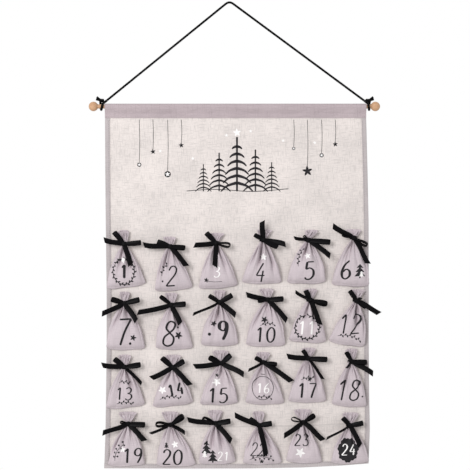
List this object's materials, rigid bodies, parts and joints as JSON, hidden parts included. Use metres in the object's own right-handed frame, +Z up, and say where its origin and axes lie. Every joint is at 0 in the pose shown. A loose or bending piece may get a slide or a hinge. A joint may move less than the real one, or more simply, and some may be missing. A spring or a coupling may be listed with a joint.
{
  "type": "fabric advent calendar",
  "caption": "Cotton wall banner on a wooden dowel with a hanging cord and rows of small numbered gift bags tied with ribbon bows.",
  "frame": {"origin": "the hanging point, where the cord bends over its nail or hook", "axes": "+Z up along the hanging banner, +X to the right as seen from the front, +Y towards the wall"},
  "size_m": [0.5538, 0.0312, 0.8887],
  "materials": {
    "cream_linen": "matt linen-look cotton, plain weave with slubs, printed in black and white",
    "grey_lining": "matt plain-weave cotton",
    "grey_band": "matt plain-weave cotton, top-stitched",
    "grey_binding": "matt plain-weave cotton strip, folded and stitched",
    "bag_cotton": "thin matt grey-lilac cotton, gathered, printed with numerals",
    "black_satin": "black satin ribbon, soft sheen across its ribs",
    "black_cord": "black round braided cord",
    "beech_wood": "plain sanded beech, fine grain, no varnish"
  },
  "bodies": {
    "hanger": {"dowel": "beech_wood", "left_ball": "beech_wood", "right_ball": "beech_wood", "hanging_cord": "black_cord", "left_cord_tie": "black_cord", "right_cord_tie": "black_cord"},
    "banner": {"rod_sleeve": "grey_band", "front_panel": "cream_linen", "back_lining": "grey_lining", "left_binding": "grey_binding", "right_binding": "grey_binding", "bottom_binding": "grey_binding"},
    "pouch_01": {"bag_01": "bag_cotton", "ribbon_01": "black_satin"},
    "pouch_02": {"bag_02": "bag_cotton", "ribbon_02": "black_satin"},
    "pouch_03": {"bag_03": "bag_cotton", "ribbon_03": "black_satin"},
    "pouch_04": {"bag_04": "bag_cotton", "ribbon_04": "black_satin"},
    "pouch_05": {"bag_05": "bag_cotton", "ribbon_05": "black_satin"},
    "pouch_06": {"bag_06": "bag_cotton", "ribbon_06": "black_satin"},
    "pouch_07": {"bag_07": "bag_cotton", "ribbon_07": "black_satin"},
    "pouch_08": {"bag_08": "bag_cotton", "ribbon_08": "black_satin"},
    "pouch_09": {"bag_09": "bag_cotton", "ribbon_09": "black_satin"},
    "pouch_10": {"bag_10": "bag_cotton", "ribbon_10": "black_satin"},
    "pouch_11": {"bag_11": "bag_cotton", "ribbon_11": "black_satin"},
    "pouch_12": {"bag_12": "bag_cotton", "ribbon_12": "black_satin"},
    "pouch_13": {"bag_13": "bag_cotton", "ribbon_13": "black_satin"},
    "pouch_14": {"bag_14": "bag_cotton", "ribbon_14": "black_satin"},
    "pouch_15": {"bag_15": "bag_cotton", "ribbon_15": "black_satin"},
    "pouch_16": {"bag_16": "bag_cotton", "ribbon_16": "black_satin"},
    "pouch_17": {"bag_17": "bag_cotton", "ribbon_17": "black_satin"},
    "pouch_18": {"bag_18": "bag_cotton", "ribbon_18": "black_satin"},
    "pouch_19": {"bag_19": "bag_cotton", "ribbon_19": "black_satin"},
    "pouch_20": {"bag_20": "bag_cotton", "ribbon_20": "black_satin"},
    "pouch_21": {"bag_21": "bag_cotton", "ribbon_21": "black_satin"},
    "pouch_22": {"bag_22": "bag_cotton", "ribbon_22": "black_satin"},
    "pouch_23": {"bag_23": "bag_cotton", "ribbon_23": "black_satin"},
    "pouch_24": {"bag_24": "bag_cotton", "ribbon_24": "black_satin"}
  },
  "joints": [
    {"name": "banner_swing", "type": "hinge", "parent": "hanger", "child": "banner", "pos_m": [0.0146, 0, -0.1985], "axis": [1, 0, 0], "range_deg": [-90, 90]},
    {"name": "bag_01_swing", "type": "hinge", "parent": "banner", "child": "pouch_01", "pos_m": [-0.19949, 0.0016, -0.43345], "axis": [-1, 0, 0], "range_deg": [0, 70]},
    {"name": "bag_02_swing", "type": "hinge", "parent": "banner", "child": "pouch_02", "pos_m": [-0.11242, 0.0016, -0.44547], "axis": [-1, 0, 0], "range_deg": [0, 70]},
    {"name": "bag_03_swing", "type": "hinge", "parent": "banner", "child": "pouch_03", "pos_m": [-0.02536, 0.0016, -0.43825], "axis": [-1, 0, 0], "range_deg": [0, 70]},
    {"name": "bag_04_swing", "type": "hinge", "parent": "banner", "child": "pouch_04", "pos_m": [0.06429, 0.0016, -0.4316], "axis": [-1, 0, 0], "range_deg": [0, 45]},
    {"name": "bag_05_swing", "type": "hinge", "parent": "banner", "child": "pouch_05", "pos_m": [0.14962, 0.0016, -0.4325], "axis": [-1, 0, 0], "range_deg": [0, 70]},
    {"name": "bag_06_swing", "type": "hinge", "parent": "banner", "child": "pouch_06", "pos_m": [0.23582, 0.0016, -0.4314], "axis": [-1, 0, 0], "range_deg": [0, 45]},
    {"name": "bag_07_swing", "type": "hinge", "parent": "banner", "child": "pouch_07", "pos_m": [-0.19862, 0.0016, -0.5503], "axis": [-1, 0, 0], "range_deg": [0, 50]},
    {"name": "bag_08_swing", "type": "hinge", "parent": "banner", "child": "pouch_08", "pos_m": [-0.10984, 0.0016, -0.5524], "axis": [-1, 0, 0], "range_deg": [0, 50]},
    {"name": "bag_09_swing", "type": "hinge", "parent": "banner", "child": "pouch_09", "pos_m": [-0.01847, 0.0016, -0.54722], "axis": [-1, 0, 0], "range_deg": [0, 50]},
    {"name": "bag_10_swing", "type": "hinge", "parent": "banner", "child": "pouch_10", "pos_m": [0.07247, 0.0016, -0.5443], "axis": [-1, 0, 0], "range_deg": [0, 50]},
    {"name": "bag_11_swing", "type": "hinge", "parent": "banner", "child": "pouch_11", "pos_m": [0.15307, 0.0016, -0.54455], "axis": [-1, 0, 0], "range_deg": [0, 50]},
    {"name": "bag_12_swing", "type": "hinge", "parent": "banner", "child": "pouch_12", "pos_m": [0.241, 0.0016, -0.5457], "axis": [-1, 0, 0], "range_deg": [0, 50]},
    {"name": "bag_13_swing", "type": "hinge", "parent": "banner", "child": "pouch_13", "pos_m": [-0.19862, 0.0016, -0.67015], "axis": [-1, 0, 0], "range_deg": [0, 50]},
    {"name": "bag_14_swing", "type": "hinge", "parent": "banner", "child": "pouch_14", "pos_m": [-0.10725, 0.0016, -0.67017], "axis": [-1, 0, 0], "range_deg": [0, 50]},
    {"name": "bag_15_swing", "type": "hinge", "parent": "banner", "child": "pouch_15", "pos_m": [-0.01502, 0.0016, -0.66212], "axis": [-1, 0, 0], "range_deg": [0, 50]},
    {"name": "bag_16_swing", "type": "hinge", "parent": "banner", "child": "pouch_16", "pos_m": [0.06429, 0.0016, -0.66512], "axis": [-1, 0, 0], "range_deg": [0, 50]},
    {"name": "bag_17_swing", "type": "hinge", "parent": "banner", "child": "pouch_17", "pos_m": [0.14962, 0.0016, -0.65675], "axis": [-1, 0, 0], "range_deg": [0, 50]},
    {"name": "bag_18_swing", "type": "hinge", "parent": "banner", "child": "pouch_18", "pos_m": [0.23151, 0.0016, -0.65867], "axis": [-1, 0, 0], "range_deg": [0, 50]},
    {"name": "bag_19_swing", "type": "hinge", "parent": "banner", "child": "pouch_19", "pos_m": [-0.19173, 0.0016, -0.77857], "axis": [-1, 0, 0], "range_deg": [0, 50]},
    {"name": "bag_20_swing", "type": "hinge", "parent": "banner", "child": "pouch_20", "pos_m": [-0.1107, 0.0016, -0.77827], "axis": [-1, 0, 0], "range_deg": [0, 50]},
    {"name": "bag_21_swing", "type": "hinge", "parent": "banner", "child": "pouch_21", "pos_m": [-0.02622, 0.0016, -0.7754], "axis": [-1, 0, 0], "range_deg": [0, 50]},
    {"name": "bag_22_swing", "type": "hinge", "parent": "banner", "child": "pouch_22", "pos_m": [0.05653, 0.0016, -0.77762], "axis": [-1, 0, 0], "range_deg": [0, 50]},
    {"name": "bag_23_swing", "type": "hinge", "parent": "banner", "child": "pouch_23", "pos_m": [0.14014, 0.0016, -0.77367], "axis": [-1, 0, 0], "range_deg": [0, 50]},
    {"name": "bag_24_swing", "type": "hinge", "parent": "banner", "child": "pouch_24", "pos_m": [0.2285, 0.0016, -0.78], "axis": [-1, 0, 0], "range_deg": [0, 50]}
  ]
}
